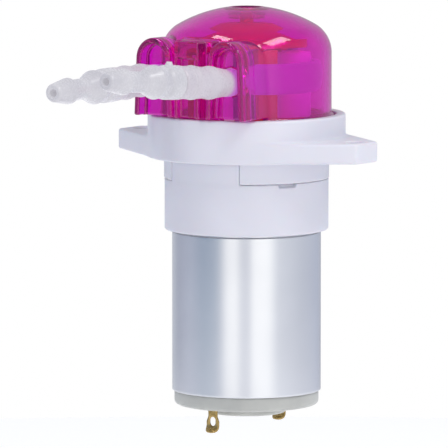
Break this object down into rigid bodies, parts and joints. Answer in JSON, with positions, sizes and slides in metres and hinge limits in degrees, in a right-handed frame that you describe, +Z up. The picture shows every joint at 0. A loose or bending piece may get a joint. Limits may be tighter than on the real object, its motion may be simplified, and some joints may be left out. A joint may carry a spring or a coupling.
{
  "type": "peristaltic pump",
  "caption": "Small dosing pump: domed clear cover over a roller rotor and silicone tube, eared mounting flange, round DC motor below, barbed hose connectors.",
  "frame": {"origin": "on the pump axis, in the plane of the mounting flange's underside, where a panel holds it", "axes": "+Z up the pump axis from the motor to the dome, -Y towards the two tube ports, X along the flange's ears"},
  "size_m": [0.0544, 0.0701, 0.0787],
  "materials": {
    "cover": "clear magenta polycarbonate, polished",
    "white_moulding": "satin white moulding",
    "cap_nylon": "milky natural nylon",
    "connector_plastic": "translucent milky polypropylene",
    "silicone": "translucent silicone rubber",
    "cage_plastic": "red-orange moulding",
    "roller_plastic": "white acetal",
    "motor_sleeve": "satin nickel-plated steel",
    "steel": "ground steel",
    "zinc": "zinc-plated steel",
    "brass": "tinned-edge brass strip",
    "copper": "copper",
    "bronze": "oiled sintered bronze",
    "ferrite": "dark ferrite",
    "carbon": "carbon graphite",
    "lamination": "stacked electrical steel"
  },
  "bodies": {
    "housing": {"pump_cover": "cover", "mounting_flange": "white_moulding", "motor_seat": "white_moulding", "flux_ring": "motor_sleeve", "motor_can": "steel", "end_cap": "cap_nylon", "front_bush": "bronze", "rear_bush": "bronze", "motor_screw_left": "zinc", "motor_screw_right": "zinc", "terminal_front": "brass", "terminal_rear": "brass", "brush_arm_front": "copper", "brush_arm_rear": "copper", "carbon_brush_front": "carbon", "carbon_brush_rear": "carbon", "magnet_left": "ferrite", "magnet_right": "ferrite", "magnet_spring": "steel", "pump_tube": "silicone", "hose_connector_right": "connector_plastic", "hose_connector_left": "connector_plastic"},
    "armature": {"motor_shaft": "steel", "armature_core": "lamination", "armature_coil_1": "copper", "armature_coil_2": "copper", "armature_coil_3": "copper", "commutator": "copper", "varistor_ring": "ferrite", "shaft_spacer": "cap_nylon", "drive_sleeve": "steel"},
    "rotor_cage": {"cage_base": "cage_plastic", "cage_top": "cage_plastic", "roller_axle_1": "steel", "roller_axle_2": "steel", "roller_axle_3": "steel"},
    "roller_1": {"roller_1": "roller_plastic"},
    "roller_2": {"roller_2": "roller_plastic"},
    "roller_3": {"roller_3": "roller_plastic"}
  },
  "joints": [
    {"name": "armature_spin", "type": "hinge", "parent": "housing", "child": "armature", "pos_m": [0, 0, 0], "axis": [0, 0, 1], "continuous": true},
    {"name": "cage_spin", "type": "hinge", "parent": "housing", "child": "rotor_cage", "pos_m": [0, 0, 0], "axis": [0, 0, 1], "continuous": true},
    {"name": "roller_1_spin", "type": "hinge", "parent": "rotor_cage", "child": "roller_1", "pos_m": [0.00782, 0.00358, 0.0135], "axis": [0, 0, 1], "continuous": true},
    {"name": "roller_2_spin", "type": "hinge", "parent": "rotor_cage", "child": "roller_2", "pos_m": [-0.00701, 0.00498, 0.0135], "axis": [0, 0, 1], "continuous": true},
    {"name": "roller_3_spin", "type": "hinge", "parent": "rotor_cage", "child": "roller_3", "pos_m": [-0.00081, -0.00856, 0.0135], "axis": [0, 0, 1], "continuous": true}
  ],
  "couplings": [
    {"joint": "cage_spin", "follows": "armature_spin", "ratio": 0.30233},
    {"joint": "roller_1_spin", "follows": "armature_spin", "ratio": -1.067},
    {"joint": "roller_2_spin", "follows": "armature_spin", "ratio": -1.067},
    {"joint": "roller_3_spin", "follows": "armature_spin", "ratio": -1.067}
  ]
}
